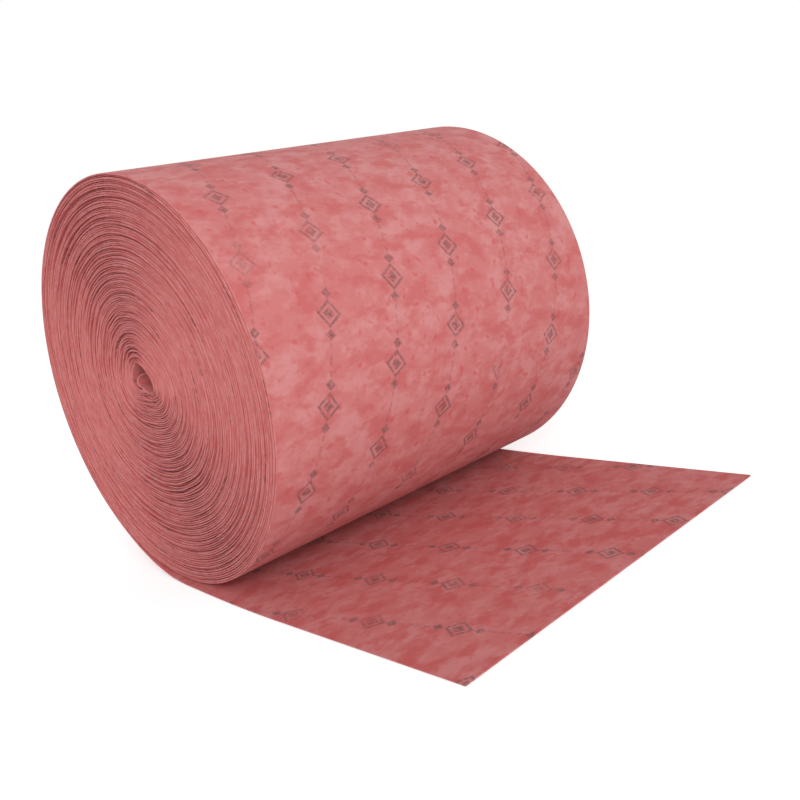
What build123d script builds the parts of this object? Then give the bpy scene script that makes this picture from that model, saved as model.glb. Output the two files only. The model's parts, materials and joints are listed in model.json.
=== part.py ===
# Coreless roll of fleece-faced waterproof membrane, lying on its side with its free end run out on the floor.
# The roll's axis runs along Y, the free end runs out towards +X, and the floor is Z = 0.
# The origin is the middle of the whole part's footprint.
from build123d import *
import os
from math import cos, radians, sin

os.makedirs("parts", exist_ok=True)

# Driving dimensions, in millimetres
strip_width = 200.0
strip_thickness = 0.8
winding_pitch = 0.87
roll_radius = 91.0
eye_radius = 8.0
eye_chamfer = 1.5
tail_length = 170.0

# The dark gaps that show on the ends: one open gap for every few turns of the strip
turns_per_gap = 8
gap_width = 0.7
gap_depth = 1.2
land_beside_eye = 3.0

# Places that follow from the driving dimensions
axis_x = (roll_radius - tail_length) / 2
axis_height = roll_radius
tail_tip_x = axis_x + tail_length
drum_radius = roll_radius - winding_pitch
roll_axis = Axis((axis_x, 0, axis_height), (0, 1, 0))
near_end = Plane.XZ.offset(strip_width / 2)
far_end = Plane.XZ.offset(-strip_width / 2)


def winding_arcs(outer_radius, pitch, quarters):
    """Quarter arcs of a wound strip, from its outer end at the bottom of the roll inwards.

    Seen from the near end the strip goes inwards clockwise: up the left side and over the top.
    Each quarter is drawn round a centre of its own, so the arcs run into each other smoothly
    while the radius falls by one pitch in each turn.
    """
    arcs = []
    centre_x, centre_z, radius = axis_x, axis_height, outer_radius
    for quarter in range(quarters):
        start_angle = 180 - 90 * quarter
        arcs.append(((centre_x, centre_z), radius, start_angle))
        joint_angle = radians(start_angle)
        centre_x += pitch / 4 * cos(joint_angle)
        centre_z += pitch / 4 * sin(joint_angle)
        radius -= pitch / 4
    return arcs


# The wound drum is turned: its half section has the open eye inside, widened a little at its two mouths
with BuildPart() as membrane_roll:
    with BuildSketch(Plane.YZ.offset(axis_x)):
        with Locations((0, axis_height + (eye_radius + drum_radius) / 2)):
            half_section = Rectangle(strip_width, drum_radius - eye_radius)
        chamfer(half_section.vertices().group_by(Axis.Y)[0], eye_chamfer)
    revolve(axis=roll_axis)

    # The outermost turn leaves the drum at the bottom and runs on as the flat free end
    with BuildSketch(Plane.XZ):
        with BuildLine():
            for centre, radius, start_angle in winding_arcs(roll_radius, winding_pitch, 4):
                outer_turn = CenterArc(centre, radius, start_angle, 90)
            Polyline(
                outer_turn @ 0,
                (axis_x, strip_thickness),
                (tail_tip_x, strip_thickness),
                (tail_tip_x, 0),
                (axis_x, 0),
            )
        make_face()
        with Locations((axis_x, axis_height)):
            Circle(drum_radius - strip_thickness, mode=Mode.SUBTRACT)
    extrude(amount=strip_width / 2, both=True)

    # The turns show on both ends as one long open gap that winds in to the eye
    gap_pitch = turns_per_gap * winding_pitch
    gap_start_radius = drum_radius - gap_pitch
    gap_turns = int((gap_start_radius - gap_width - eye_radius - land_beside_eye) / gap_pitch)
    for end, inwards in ((near_end, -1), (far_end, 1)):
        with BuildSketch(end):
            with BuildLine():
                arcs = winding_arcs(gap_start_radius, gap_pitch, 4 * gap_turns)
                outer_wall = [CenterArc(centre, radius, start, 90) for centre, radius, start in arcs]
                inner_wall = [
                    CenterArc(centre, radius - gap_width, start, 90) for centre, radius, start in arcs
                ]
                Line(outer_wall[0] @ 1, inner_wall[0] @ 1)
                Line(outer_wall[-1] @ 0, inner_wall[-1] @ 0)
            make_face()
        extrude(amount=inwards * gap_depth, mode=Mode.SUBTRACT)

membrane_roll.part.label = "membrane_roll"
export_step(membrane_roll.part, "parts/membrane_roll.step")
print("roll diameter", 2 * roll_radius, "width", strip_width, "gap turns on each end", gap_turns)
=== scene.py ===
# %% [markdown]
# # A roll of fleece-faced membrane, wound from one strip
#
# The real thing is one strip of waterproof membrane, about 30 m long, 200 mm wide and under a millimetre
# thick. It is wound without a core, and its free end is run out flat on the floor.
# There are two ways to make such a roll: a turned drum with lines drawn on its ends, or a real strip that is
# wound up. The drum is quick, but its ends stay flat discs. This lesson winds the strip, because then the
# gaps, the steps between the turns and the crushed eye are all there, and they catch the light by themselves.

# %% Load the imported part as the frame
import json
import math

import bpy
import numpy as np
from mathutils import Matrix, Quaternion, Vector


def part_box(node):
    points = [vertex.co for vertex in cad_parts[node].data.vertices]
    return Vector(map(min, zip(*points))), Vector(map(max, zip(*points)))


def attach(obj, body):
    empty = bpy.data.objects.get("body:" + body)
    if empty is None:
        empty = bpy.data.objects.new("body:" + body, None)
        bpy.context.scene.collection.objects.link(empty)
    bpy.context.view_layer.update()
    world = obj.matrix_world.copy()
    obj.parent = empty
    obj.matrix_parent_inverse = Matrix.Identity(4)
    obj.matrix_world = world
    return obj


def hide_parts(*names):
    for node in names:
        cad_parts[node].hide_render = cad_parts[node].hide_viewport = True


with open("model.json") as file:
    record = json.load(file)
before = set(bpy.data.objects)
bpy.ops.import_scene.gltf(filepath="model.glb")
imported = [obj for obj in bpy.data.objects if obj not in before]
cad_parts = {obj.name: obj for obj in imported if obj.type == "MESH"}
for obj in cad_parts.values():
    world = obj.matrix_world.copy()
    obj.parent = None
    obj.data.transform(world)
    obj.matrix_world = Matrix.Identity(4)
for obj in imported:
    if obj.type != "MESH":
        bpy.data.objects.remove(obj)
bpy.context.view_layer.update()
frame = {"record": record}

cad_low, cad_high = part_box("membrane_roll")
bpy.ops.object.select_all(action="DESELECT")

# %% [markdown]
# ## The camera comes first
#
# The photograph was taken close to the roll, from the front right and a little above it, so the near end looks
# much larger than the far one. The camera was also turned a few degrees about its own line of sight: what is
# level in the real room climbs to the right in the picture. A camera is aimed here by a target point, and then
# turned about its own axis.

# %% Aim the camera
camera_place = Vector((0.3345, -0.2919, 0.1563))
camera_target = Vector((0.0812, -0.0646, 0.0802))
camera_turn = math.radians(-10.5)
focal_length = 43.1

bpy.ops.object.camera_add(location=camera_place)
camera = bpy.context.object
camera.rotation_mode = "QUATERNION"
aimed = (camera_target - camera_place).to_track_quat("-Z", "Y")
camera.rotation_quaternion = aimed @ Quaternion((0, 0, 1), camera_turn)
camera.data.lens = focal_length
camera.data.sensor_width = 36
camera.data.clip_start = 0.01
bpy.context.scene.camera = camera
print("camera", round((camera_target - camera_place).length, 3), "m from its target")

# %% [markdown]
# ## The line that the strip follows
#
# Seen from the near end, the strip starts at its free tip on the right, runs left along the floor, and goes up
# the left side and over the top of the roll, further in with each turn. That line is a spiral, but a real roll
# is never an exact one. Its eye is crushed to an oval that lies higher than the middle of the roll. The gap
# between two turns opens and closes on its way round, most along a line through the eye and least across it.
# So the line is laid turn by turn here. Each turn lies one thickness and one gap inside the last, and the gaps
# are chosen so that the last turn meets the eye's outline.

# %% Sizes of the strip and the roll
eye = next(mount for mount in frame["record"]["mounts"] if mount["name"] == "eye")
roll_middle_x = eye["pos_m"][0]
roll_radius = eye["pos_m"][2]
strip_width = cad_high.y - cad_low.y

strip_thickness = 0.00078
edge_rounding = 0.00039
free_length = 0.1709
whole_turns = 95
eye_radius, eye_squash, eye_point = 0.0071, 0.0015, 0.0012
eye_shift_x, eye_shift_z = -0.0003, 0.0042
eye_tilt = math.radians(-20)
print("roll radius", round(roll_radius, 4), "m and strip width", round(strip_width, 4), "m")


# %% Helpers for uneven things
def smooth_step(value):
    """0 below 0, 1 above 1, and a smooth rise between."""
    held = np.clip(value, 0, 1)
    return held * held * (3 - 2 * held)


def angle_at(turn):
    """The angle round the roll, so many turns in from the line where the strip leaves the floor."""
    return -math.pi / 2 - 2 * math.pi * turn


def uneven_waves(turn, orders, shifts, seed):
    """A sum of sine waves along the strip, which differ from one turn to the next.

    A wave with a whole number of cycles in each turn would look the same on every turn, and a fraction on top
    of that number sets neighbouring turns apart. The sum is about as strong for many waves as for a few.
    """
    draw = np.random.default_rng(seed)
    total = np.zeros_like(turn)
    for order in orders:
        for shift in shifts:
            cycles = order + shift * draw.uniform(0.9, 1.1)
            total += np.sin(2 * math.pi * (cycles * turn + draw.uniform(0, 1)))
    return total / math.sqrt(len(orders) * len(shifts) / 2)


# %% Lay the turns one inside the other
points_in_turn = 720
tightest_gap = 0.00001
widest_opening = 0.9
loose_angle = math.radians(108)
loose_middle, loose_swing = 0.9, 0.65
gap_orders, gap_shifts = (1, 2, 3, 5), (0.25, 0.34, 0.41, 0.48)
end_angle = math.radians(138)
turns_wound = whole_turns + (-math.pi / 2 - end_angle) / (2 * math.pi) % 1

part_turn = np.arange(points_in_turn) / points_in_turn
angle = angle_at(part_turn)
eye_outline = eye_radius + eye_squash * np.cos(2 * (angle - eye_tilt))
eye_outline += eye_point * np.cos(3 * (angle - math.pi / 2))
looseness = loose_middle + loose_swing * np.cos(2 * (angle - loose_angle))
step = (roll_radius - eye_radius) / turns_wound
turn_radius = [roll_radius - step * part_turn]
for whole_turn in range(whole_turns):
    turn = whole_turn + part_turn
    left_over = np.maximum(turns_wound - turn, 1)
    even_gap = (turn_radius[-1] - eye_outline) / left_over - strip_thickness
    wave = uneven_waves(turn, gap_orders, gap_shifts, seed=4)
    opening = 1 + widest_opening * np.tanh(looseness * wave)
    gap = np.maximum(even_gap * opening, tightest_gap)
    turn_radius.append(turn_radius[-1] - strip_thickness - gap)
print("turns", round(turns_wound, 1), "and a step of", round(step * 1000, 2), "mm")

# %% Let the strip's inner end curl into the eye
curl_depth, curl_turns = 0.0044, 0.36
wound_turn = np.arange(len(turn_radius) * points_in_turn) / points_in_turn
wound_radius = np.concatenate(turn_radius)[wound_turn <= turns_wound]
wound_turn = wound_turn[wound_turn <= turns_wound]
wound_radius -= curl_depth * smooth_step(1 - (turns_wound - wound_turn) / curl_turns)
wound_angle = angle_at(wound_turn)
wound_x = roll_middle_x + eye_shift_x * wound_turn / turns_wound + wound_radius * np.cos(wound_angle)
wound_z = roll_radius + eye_shift_z * wound_turn / turns_wound + wound_radius * np.sin(wound_angle)
print("the inner end lies", round(wound_radius[-1] * 1000, 1), "mm from the middle of the eye")

# %% Choose the stations
chord_error = 0.00002
tail_step = 0.004

# Steps grow with the root of the radius, so that every chord stays equally near its arc
piece_length = np.hypot(np.diff(wound_x), np.diff(wound_z))
spacing = np.sqrt(8 * chord_error * wound_radius[1:])
count = np.concatenate([[0], np.cumsum(piece_length / spacing)])
stations = np.linspace(0, count[-1], int(count[-1]) + 1)
tail_x = np.linspace(roll_middle_x + free_length, roll_middle_x, round(free_length / tail_step) + 1)[:-1]
line_x = np.concatenate([tail_x, np.interp(stations, count, wound_x)])
line_z = np.concatenate([np.zeros_like(tail_x), np.interp(stations, count, wound_z)])
line_turn = np.concatenate([np.zeros_like(tail_x), np.interp(stations, count, wound_turn)])
line_along = np.concatenate([[0], np.cumsum(np.hypot(np.diff(line_x), np.diff(line_z)))])
strip_length = line_along[-1]
print("strip", round(strip_length, 2), "m long with", len(line_x), "stations")

# %% [markdown]
# ## The flat strip
#
# A strip is cut and wound while it is flat, so it is modelled flat first. One grid holds all the stations, and
# its rows are then moved to their places. The two long edges aren't straight on the real roll: each turn lies
# a few tenths of a millimetre further in or out than the last, most where the turns are loose. The free end
# stands proud of the near end, and the inner end lies a little back in the eye.
# It is far easier to give the strip that wander now than when it is wound.

# %% How far the strip lies sideways
free_end_offset, inner_end_offset = -0.0060, 0.0010
offset_reach = 0.070
edge_wander, wander_middle, wander_swing = 0.00044, 0.8, 0.35
wander_orders, wander_shifts = (0, 1, 2, 4), (0.22, 0.31, 0.40)
turns_to_full_wander = 1.5


def sideways(along, turn):
    """How far the strip lies towards the far end, which is +Y, at a distance along it."""
    past_contact = free_length - along
    joined = smooth_step((past_contact + offset_reach) / (2 * offset_reach))
    wander = edge_wander * uneven_waves(turn, wander_orders, wander_shifts, seed=9)
    wander *= wander_middle + wander_swing * np.cos(2 * (angle_at(turn) - loose_angle))
    wander *= smooth_step(turn / turns_to_full_wander)
    curled = smooth_step(1 - (turns_wound - turn) / curl_turns)
    return free_end_offset * joined + wander + inner_end_offset * curled


# %% A small helper that reads a mesh
def read_all(items, name, kind, size=1):
    """One property of all vertices, corners or faces, as an array with one row for each of them."""
    values = np.empty(len(items) * size, kind)
    items.foreach_get(name, values)
    return values.reshape(-1, size) if size > 1 else values


# %% Lay out the flat strip
cut_slant = math.radians(1.0)
bpy.ops.mesh.primitive_grid_add(x_subdivisions=len(line_x) - 1, y_subdivisions=1, size=2)
strip = bpy.context.object
strip.name = strip.data.name = "membrane_strip_wound"
grid = read_all(strip.data.vertices, "co", float, 3)
row = np.rint((grid[:, 0] + 1) / 2 * (len(line_x) - 1)).astype(int)
share_across = (grid[:, 1] + 1) / 2
print("rows", row.min(), "to", row.max())

# The strip was cut a little out of square, so the rows slant more and more towards the tip
off_middle = (share_across - 0.5) * strip_width
slant = math.tan(cut_slant) * smooth_step((free_length - line_along[row]) / free_length)
flat = np.empty_like(grid)
flat[:, 0] = line_along[row] + slant * off_middle
flat[:, 1] = 0
flat[:, 2] = -(off_middle + sideways(line_along, line_turn)[row])
strip.data.vertices.foreach_set("co", flat.ravel())
strip.data.update()

# %% Give the strip its own map, in metres
strip_map = strip.data.uv_layers[0]
strip_map.name = "strip_metres"
corner_vertex = read_all(strip.data.loops, "vertex_index", np.int32)
strip_uv = np.stack([line_along[row], share_across * strip_width], 1)[corner_vertex]
strip_map.uv.foreach_set("vector", strip_uv.astype(np.float32).ravel())
print("map", strip_map.name, "reaches", strip_uv.max(0).round(3))

# %% [markdown]
# ## Winding it up
#
# A Curve modifier bends a mesh along a curve, as if the mesh were pushed into a track. The track here is the
# line from above, with one point for each row of the strip, so each row lands exactly on its point.
# Solidify then gives the strip its thickness, on the inner side. It also gives the inner face and the cut
# edges materials of their own, because the three look different on the real membrane.

# %% Wind the strip along its line
bpy.ops.curve.primitive_nurbs_path_add()
track = bpy.context.object
track.name = "winding_track"
track.data.splines.clear()
track.data.dimensions = "2D"
spline = track.data.splines.new("POLY")
spline.points.add(len(line_x) - 1)
track_points = np.stack([line_x, line_z, np.zeros_like(line_x), np.ones_like(line_x)], 1)
spline.points.foreach_set("co", track_points.ravel())

bpy.ops.object.select_all(action="DESELECT")
strip.select_set(True)
bpy.context.view_layer.objects.active = strip
bend = strip.modifiers.new("wind", "CURVE")
bend.object = track
bend.deform_axis = "POS_X"
bpy.ops.object.modifier_apply(modifier="wind")
bpy.data.objects.remove(track)

# The winding was drawn in the X and Y of the strip's own space, so the finished roll is tipped up
strip.rotation_euler.x = math.radians(90)
bpy.ops.object.transform_apply(location=True, rotation=True, scale=True)
wound_place = read_all(strip.data.vertices, "co", float, 3)
print("wound strip", wound_place.min(0).round(4), wound_place.max(0).round(4))

# %% Give the strip its thickness
outer_slot, inner_slot, edge_slot = 0, 1, 2
for finish_name in ("fleece_outer_face", "fleece_inner_face", "fleece_cut_edge"):
    strip.data.materials.append(bpy.data.materials.new(finish_name))

# The first face lies on the floor, and its outer side looks down
if strip.data.polygons[0].normal.z > 0:
    strip.data.flip_normals()
thicken = strip.modifiers.new("thickness", "SOLIDIFY")
thicken.thickness = strip_thickness
thicken.offset = -1
thicken.material_offset = inner_slot
thicken.material_offset_rim = edge_slot
bpy.ops.object.modifier_apply(modifier="thickness")
print("faces", len(strip.data.polygons))

# %% Round the cut edges
rounding = strip.modifiers.new("rounding", "BEVEL")
rounding.width = edge_rounding
rounding.segments = 1
rounding.limit_method = "ANGLE"
rounding.angle_limit = math.radians(60)
rounding.material = edge_slot
bpy.ops.object.modifier_apply(modifier="rounding")

# The cut edges are shaded apart from the two wide faces, so the line between them is marked sharp
bpy.ops.object.shade_smooth()
strip.active_material_index = edge_slot
bpy.ops.object.mode_set(mode="EDIT")
bpy.ops.mesh.select_all(action="DESELECT")
bpy.ops.object.material_slot_select()
bpy.ops.mesh.region_to_loop()
bpy.ops.mesh.mark_sharp()
bpy.ops.object.mode_set(mode="OBJECT")
print("triangles", sum(len(face.vertices) - 2 for face in strip.data.polygons))

# %% [markdown]
# ## Round edges without more faces
#
# The fleece wraps softly over each cut edge, so every turn shows as a thin half round that is light on one
# side and dark on the other. More bevel segments would do it, but on 30 m of strip they cost many thousand
# faces. The bevel has one segment, and the shading does the rest: each corner of the edge is told which way to
# point. Beside a wide face it points as that face does, and on the crest it points straight out of the roll's
# end. The two short ends of the strip keep the shading they have.

# %% Read the faces of the wound strip
faces, corners = strip.data.polygons, strip.data.loops
face_start = read_all(faces, "loop_start", np.int32)
face_size = read_all(faces, "loop_total", np.int32)
face_slot = read_all(faces, "material_index", np.int32)
corner_vertex = read_all(corners, "vertex_index", np.int32)
corner_place = read_all(strip.data.vertices, "co", float, 3)[corner_vertex]
corner_uv = read_all(strip.data.uv_layers["strip_metres"].uv, "vector", np.float32, 2)
corner_slot = np.repeat(face_slot, face_size)
on_outer, on_inner, on_edge = (corner_slot == slot for slot in (outer_slot, inner_slot, edge_slot))
print("corners", len(corners), "of which on the cut edges", on_edge.sum())

# %% Shade the cut edges as half rounds
crest_limit = 0.7
corner_normal = read_all(strip.data.corner_normals, "vector", np.float32, 3)
wide_normal = np.zeros((len(strip.data.vertices), 3), np.float32)
np.add.at(wide_normal, corner_vertex[~on_edge], corner_normal[~on_edge])
wide_normal = wide_normal[corner_vertex]
wide_length = np.linalg.norm(wide_normal, axis=1, keepdims=True)
beside_wide_face = on_edge & (wide_length[:, 0] > 0)
on_the_crest = on_edge & (wide_length[:, 0] == 0) & (np.abs(corner_normal[:, 1]) > crest_limit)
corner_normal[beside_wide_face] = (wide_normal / np.maximum(wide_length, 1e-9))[beside_wide_face]
corner_normal[on_the_crest] = np.sign(corner_normal[on_the_crest, 1:2]) * (0, 1, 0)
strip.data.normals_split_custom_set(corner_normal)
print("corners beside a wide face", beside_wide_face.sum(), "and on the crest", on_the_crest.sum())

# %% [markdown]
# ## A second map for the baked picture
#
# When the roll's colours are baked into one square picture, that picture has to show the faces that can be seen.
# A map made by machine would spread 30 m of hidden strip over it instead. So the outermost turn, the free end
# and the eye are laid out here at one scale, the two ends are laid out as the discs that they are, and all the
# hidden turns share a small corner.

# %% Find the faces that can be seen
eye_reach, cut_depth = 0.060, 0.001
outer_length = 2 * math.pi * roll_radius
along, across = corner_uv.T
face_along, face_across = (
    np.repeat(np.add.reduceat(value, face_start) / face_size, face_size) for value in (along, across)
)
on_near_half = face_across < strip_width / 2
on_free_end = face_along < free_length
on_outermost_turn = face_along < free_length + outer_length
in_the_eye = face_along > strip_length - eye_reach
at_a_short_end = (face_along < cut_depth) | (face_along > strip_length - cut_depth)
print("corners on the free end", on_free_end.sum(), "and in the eye", in_the_eye.sum())

# %% Lay them out in one square
# All places are in metres. The first row holds the outermost turn, the middle row the free end, the near disc
# and the eye, and the last row the far disc, the hidden turns and, above those, the free end's two cut edges.
square_side = 0.60
middle_row, last_row, cut_row = 0.204, 0.408, 0.590
outer_free_end_at, near_disc_at, eye_at, short_ends_at = 0.175, 0.350, 0.536, 0.580
cut_edges_at, hidden_inner_at, hidden_outer_at = 0.190, 0.186, 0.390
hidden_length, hidden_fit, row_fit = 0.200, 0.88, 0.99
cut_row_gap, short_end_fit = 0.004, 20

disc_x = corner_place[:, 0] - roll_middle_x + roll_radius
disc_z = corner_place[:, 2]
hidden_along = along * hidden_length / strip_length
places_in_square = [
    (on_edge & at_a_short_end, short_ends_at + disc_z / short_end_fit, across),
    (on_edge & on_free_end, cut_edges_at + along, cut_row + cut_row_gap * ~on_near_half + disc_z),
    (on_edge & on_near_half, near_disc_at + disc_x, middle_row + disc_z),
    (on_edge, disc_x, last_row + disc_z),
    (on_outer & on_free_end, outer_free_end_at + along, middle_row + across * row_fit),
    (on_outer & on_outermost_turn, along - free_length, across),
    (on_inner & on_free_end, along, middle_row + across * row_fit),
    (on_inner & in_the_eye, eye_at + strip_length - along, middle_row + across * row_fit),
    (on_inner, hidden_inner_at + hidden_along, last_row + across * hidden_fit),
    (on_outer, hidden_outer_at + hidden_along, last_row + across * hidden_fit),
]
conditions = [condition for condition, _, _ in places_in_square]
square_u = np.select(conditions, [u for _, u, _ in places_in_square])
square_v = np.select(conditions, [v for _, _, v in places_in_square])
square_uv = np.stack([square_u, square_v], 1)
bake_map = strip.data.uv_layers.new(name="OFBake")
bake_map.uv.foreach_set("vector", (square_uv / square_side).astype(np.float32).ravel())
print("square from", square_uv.min(0).round(3), "to", square_uv.max(0).round(3))

# %% Give the free end's cut edges the inner face's finish
# The free end's cut edges take the inner face's darker finish: painted shade that holds back the lamp's light on
# these edges
face_slot[(face_slot == edge_slot) & on_free_end[face_start]] = inner_slot
faces.foreach_set("material_index", face_slot)
print("faces with the inner finish", (face_slot == inner_slot).sum())

# %% [markdown]
# ## The fleece
#
# The membrane is a thin plastic film between two layers of non-woven fleece. The fleece is dyed unevenly, so
# its pink has pale clouds, coral patches and small red specks, and its fibres give a soft sheen. All of it
# follows the strip, so the material reads the strip's own map, which is in metres. One function makes the
# finish, because the two faces and the cut edges differ only in their colours and in how much ink they carry.


# %% Colours as the eye reads them
def from_screen(red, green, blue):
    """A colour given as 0 to 255 on a screen, as the linear numbers that a shader takes."""
    shares = [value / 255 for value in (red, green, blue)]
    linear = [x / 12.92 if x < 0.04045 else ((x + 0.055) / 1.055) ** 2.4 for x in shares]
    return (*linear, 1.0)


# %% A small helper for nodes
class Tree:
    """Adds nodes to one material and links them, so that a finish reads from top to bottom."""

    def __init__(self, material):
        material.use_nodes = True
        self.nodes = material.node_tree.nodes
        self.links = material.node_tree.links
        self.nodes.clear()

    def put(self, value, socket):
        """Links a socket's value, or writes a plain one."""
        if isinstance(value, bpy.types.NodeSocket):
            self.links.new(value, socket)
        else:
            socket.default_value = value

    def add(self, kind, inputs=None, **settings):
        node = self.nodes.new(kind)
        for name, value in settings.items():
            setattr(node, name, value)
        for name, value in (inputs or {}).items():
            self.put(value, node.inputs[name])
        return node

    def math(self, operation, *values, clamp=False):
        inputs = dict(enumerate(values))
        return self.add("ShaderNodeMath", inputs, operation=operation, use_clamp=clamp).outputs[0]

    def noise(self, place, scale, detail, roughness=0.5):
        inputs = {"Vector": place, "Scale": scale, "Detail": detail, "Roughness": roughness}
        return self.add("ShaderNodeTexNoise", inputs).outputs[0]

    def ramp(self, value, low, high):
        """value from low to high, as 0 to 1 with soft ends."""
        inputs = {"Value": value, "From Min": low, "From Max": high}
        node = self.add("ShaderNodeMapRange", inputs, interpolation_type="SMOOTHSTEP")
        return node.outputs["Result"]

    def mix(self, share, first, second):
        node = self.add("ShaderNodeMix", data_type="RGBA")
        for index, value in ((0, share), (6, first), (7, second)):
            self.put(value, node.inputs[index])
        return node.outputs[2]


# %% [markdown]
# ## The printed marks
#
# Small grey-brown marks are printed on both faces of the fleece. They could be painted in a picture, but then
# they would blur close up. Here a few sums give the distance from a place on the strip to the nearest mark, and
# the ink is where that distance is small. The pattern is a plain one of this lesson's own: lozenges round a
# solid core, with a dot on either side and faint dashes between, in slanted rows.

# %% Sizes of the marks, in metres
# The pairs say where the soft edge of a shape is clear of ink and where it is full
mark_gap_along, mark_gap_across = 0.036, 0.034
row_slant = math.radians(17)
mark_reach, core_reach, dot_reach = 0.0050, 0.0019, 0.0015
dot_place = 0.0084
line_half = 0.00075
line_edge = (line_half * 1.9, line_half * 0.2)
dash_gap, dash_ink = 0.0042, 0.45
dash_end, dash_side, dashes_from = (0.0014, 0.0009), (0.0008, 0.0003), (0.0105, 0.0115)


# %% Print them
def in_cells(tree, value, size):
    """The distance from the middle of the cell that a value is in, and the cell's number."""
    cell = tree.math("FLOOR", tree.math("ADD", tree.math("DIVIDE", value, size), 0.5))
    return tree.math("SUBTRACT", value, tree.math("MULTIPLY", cell, size)), cell


def printed_marks(tree, strip_place):
    """How much ink is at a place. Every second row of marks is set off by half a gap."""
    inputs = {"Vector": strip_place, "Rotation": (0, 0, row_slant)}
    slanted = tree.add("ShaderNodeMapping", inputs).outputs[0]
    split = tree.add("ShaderNodeSeparateXYZ", {"Vector": slanted})
    y, row_number = in_cells(tree, split.outputs[1], mark_gap_across)
    odd = tree.math("MULTIPLY", tree.math("FLOORED_MODULO", row_number, 2.0), mark_gap_along / 2)
    x, _ = in_cells(tree, tree.math("ADD", split.outputs[0], odd), mark_gap_along)
    x, y = tree.math("ABSOLUTE", x), tree.math("ABSOLUTE", y)
    reach = tree.math("ADD", x, y)
    outline = tree.math("ABSOLUTE", tree.math("SUBTRACT", reach, mark_reach))
    core = tree.math("SUBTRACT", reach, core_reach)
    beside = tree.math("ABSOLUTE", tree.math("SUBTRACT", x, dot_place))
    side_dot = tree.math("SUBTRACT", tree.math("ADD", beside, y), dot_reach)
    nearest = tree.math("MINIMUM", tree.math("MINIMUM", outline, core), side_dot)
    dash = tree.math("ABSOLUTE", in_cells(tree, x, dash_gap)[0])
    dashes = tree.math("MULTIPLY", tree.ramp(dash, *dash_end), tree.ramp(y, *dash_side))
    past_dots = tree.math("MULTIPLY", tree.ramp(x, *dashes_from), dash_ink)
    dashes = tree.math("MULTIPLY", dashes, past_dots)
    return tree.math("MAXIMUM", tree.ramp(nearest, *line_edge), dashes)


# %% [markdown]
# ## The dye and the fibres
#
# Each layer of the colour is a noise of its own size: clouds of several centimetres, patches, specks, and
# fibres that are drawn out in two directions. A range says at which values of the noise one colour gives way
# to the next. A pair that runs downwards turns the noise round.

# %% Sizes of the fleece pattern, as noise scales in one metre
cloud_scale, patch_scale, speck_scale, fibre_scale = 38, 130, 380, 2600
cloud_share, patch_share, speck_share = 0.35, 0.50, 0.15
pale_range = (0.43, 0.60)
dye_scale, dye_range, dye_share = 115, (0.44, 0.66), 0.85
spot_scale, spot_range, spot_share = 210, (0.62, 0.74), 0.6
fibre_range, fibre_share = (0.70, 0.42), 0.06
worn_scale, worn_range = 700, (0.25, 0.60)
faded_scale, faded_range = 28, (0.20, 0.50)
fibre_height, speck_height = 0.6, 0.4
spot_colour, ink_colour = from_screen(204, 86, 90), from_screen(116, 82, 82)


# %% The fleece finish
def turned(tree, place, degrees, stretch):
    """The same place on a map that is turned and drawn out, so that a pattern on it runs in one direction."""
    inputs = {"Vector": place, "Rotation": (0, 0, math.radians(degrees)), "Scale": (1, 1 / stretch, 1)}
    return tree.add("ShaderNodeMapping", inputs).outputs[0]


def fleece(material, pale, middle, deep, shift, ink_share):
    """Fleece with clouds, patches, specks and fibres, and ink on it. shift moves the pattern along the strip."""
    tree = Tree(material)
    strip_place = tree.add("ShaderNodeUVMap", uv_map="strip_metres").outputs["UV"]
    place = tree.add("ShaderNodeMapping", {"Vector": strip_place, "Location": (shift, 0, 0)}).outputs[0]
    clouds = tree.noise(place, cloud_scale, 2)
    patches = tree.noise(turned(tree, place, 20, 1.3), patch_scale, 3, 0.6)
    specks = tree.noise(turned(tree, place, 20, 1.5), speck_scale, 2, 0.55)
    fibres = tree.math(
        "MAXIMUM",
        tree.noise(turned(tree, place, 25, 7), fibre_scale, 1),
        tree.noise(turned(tree, place, -50, 7), fibre_scale, 1),
    )
    tone = tree.math("MULTIPLY", clouds, cloud_share)
    tone = tree.math("ADD", tone, tree.math("MULTIPLY", patches, patch_share))
    tone = tree.math("ADD", tone, tree.math("MULTIPLY", specks, speck_share))
    colour = tree.mix(tree.ramp(tone, *pale_range), middle, pale)
    dyed = tree.ramp(tree.noise(turned(tree, place, -60, 1.6), dye_scale, 3, 0.6), *dye_range)
    colour = tree.mix(tree.math("MULTIPLY", dyed, dye_share), colour, deep)
    red_spots = tree.ramp(tree.noise(place, spot_scale, 1), *spot_range)
    colour = tree.mix(tree.math("MULTIPLY", red_spots, spot_share), colour, spot_colour)
    thin_fleece = tree.math("MULTIPLY", tree.ramp(fibres, *fibre_range), fibre_share)
    colour = tree.mix(thin_fleece, colour, deep)

    # The ink is worn off in fine spots and faded in wide ones
    marks = printed_marks(tree, strip_place)
    worn = tree.ramp(tree.noise(place, worn_scale, 2, 0.6), *worn_range)
    faded = tree.ramp(tree.noise(place, faded_scale, 1), *faded_range)
    ink = tree.math("MULTIPLY", tree.math("MULTIPLY", marks, worn), tree.math("MULTIPLY", faded, ink_share))
    colour = tree.mix(ink, colour, ink_colour)

    height = tree.math("MULTIPLY", fibres, fibre_height)
    height = tree.math("ADD", height, tree.math("MULTIPLY", specks, speck_height))
    bump = tree.add("ShaderNodeBump", {"Height": height, "Strength": 0.2, "Distance": 0.0004})
    shader = tree.add(
        "ShaderNodeBsdfPrincipled",
        {
            "Base Color": colour,
            "Roughness": 0.92,
            "Specular IOR Level": 0.15,
            "Sheen Weight": 0.05,
            "Sheen Roughness": 0.6,
            "Normal": bump.outputs[0],
        },
    )
    tree.add("ShaderNodeOutputMaterial", {"Surface": shader.outputs[0]})


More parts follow.
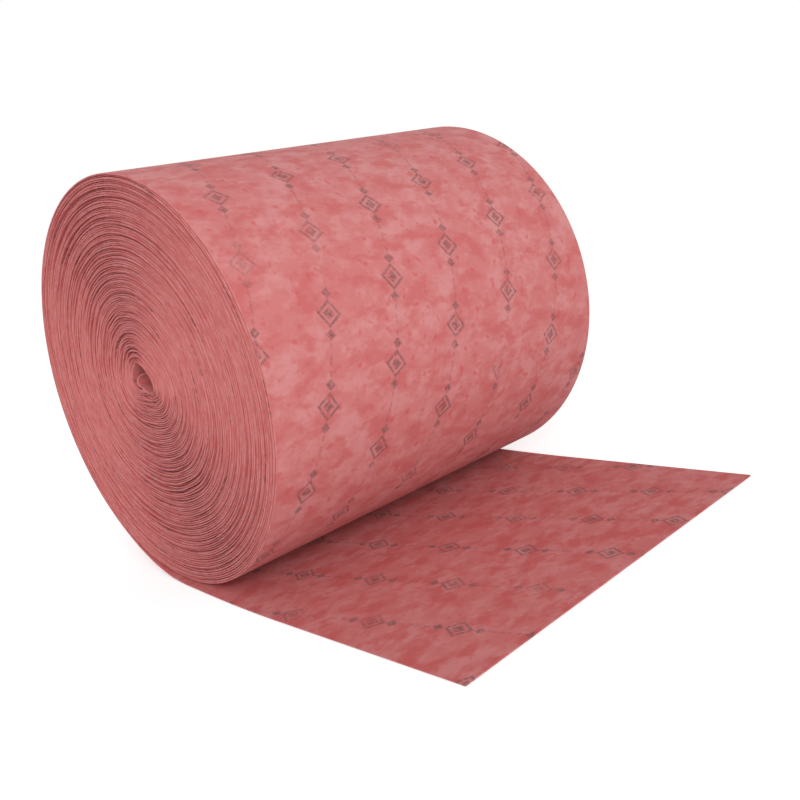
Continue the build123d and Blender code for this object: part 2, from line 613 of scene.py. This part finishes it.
outer, inner, edge = strip.data.materials
fleece(outer, from_screen(213, 141, 140), from_screen(207, 123, 122), from_screen(201, 104, 103), 0.0, 0.75)
fleece(inner, from_screen(206, 128, 127), from_screen(200, 110, 108), from_screen(194, 87, 86), 40.0, 0.8)
fleece(edge, from_screen(217, 139, 137), from_screen(210, 123, 121), from_screen(200, 105, 104), 80.0, 0.2)
print("nodes in a finish", {material.name: len(material.node_tree.nodes) for material in strip.data.materials})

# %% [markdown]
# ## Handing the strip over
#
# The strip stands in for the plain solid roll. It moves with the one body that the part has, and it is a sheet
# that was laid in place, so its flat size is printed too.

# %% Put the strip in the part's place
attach(strip, "root")
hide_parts("membrane_roll")
print("flat size", round(strip_width, 3), "by", round(strip_length, 2), "m")

# %% [markdown]
# ## Floor and light
#
# The photograph has a plain white ground. A floor that is lit until it turns white would also bleach the roll,
# so the floor is only pale, and it adds some light of its own for the camera alone. The Light Path node tells
# the camera's rays from the rays that light the roll.


# %% Tell the camera's rays apart
def seen_directly(tree):
    """1 for what the camera sees, also in a mirror or through glass, and 0 for light that falls on things."""
    path = tree.add("ShaderNodeLightPath")
    seen = tree.math("ADD", path.outputs["Is Camera Ray"], path.outputs["Is Glossy Ray"])
    return tree.math("ADD", seen, path.outputs["Is Transmission Ray"], clamp=True)


# %% The floor
floor_radius, floor_drop = 6, 0.0002
floor_colour, floor_glow = (0.86, 0.86, 0.86, 1), 0.5
bpy.ops.mesh.primitive_circle_add(
    vertices=96, radius=floor_radius, fill_type="NGON", location=(0, 0, -floor_drop)
)
floor = bpy.context.object
floor.name = "floor"
bpy.ops.object.transform_apply(location=True)
floor_finish = bpy.data.materials.new("white_floor")
floor.data.materials.append(floor_finish)
tree = Tree(floor_finish)
matt = tree.add("ShaderNodeBsdfDiffuse", {"Color": floor_colour})
glow_strength = tree.math("MULTIPLY", seen_directly(tree), floor_glow)
glow = tree.add("ShaderNodeEmission", {"Strength": glow_strength})
both = tree.add("ShaderNodeAddShader", {0: matt.outputs[0], 1: glow.outputs[0]})
tree.add("ShaderNodeOutputMaterial", {"Surface": both.outputs[0]})
print("floor", 2 * floor_radius, "m across")

# %% The world
sky_light = 0.60
world = bpy.data.worlds.new("studio")
bpy.context.scene.world = world
tree = Tree(world)
added_for_camera = tree.math("MULTIPLY", seen_directly(tree), 1 - sky_light)
strength = tree.math("ADD", sky_light, added_for_camera)
sky = tree.add("ShaderNodeBackground", {"Color": (1, 1, 1, 1), "Strength": strength})
tree.add("ShaderNodeOutputWorld", {"Surface": sky.outputs[0]})
print("sky light", sky_light)

# %% The key light
# A large soft lamp, two metres off, low and to the right of the camera
key_place = Vector((1.62, -1.08, 0.80))
bpy.ops.object.light_add(type="AREA", location=key_place)
key = bpy.context.object
key.data.shape = "DISK"
key.data.size = 1.3
key.data.energy = 21
key.rotation_mode = "QUATERNION"
key.rotation_quaternion = (Vector((0, 0, roll_radius)) - key_place).to_track_quat("-Z", "Y")
print("key light", key.data.energy, "W")

bpy.context.scene.view_settings.view_transform = "Standard"
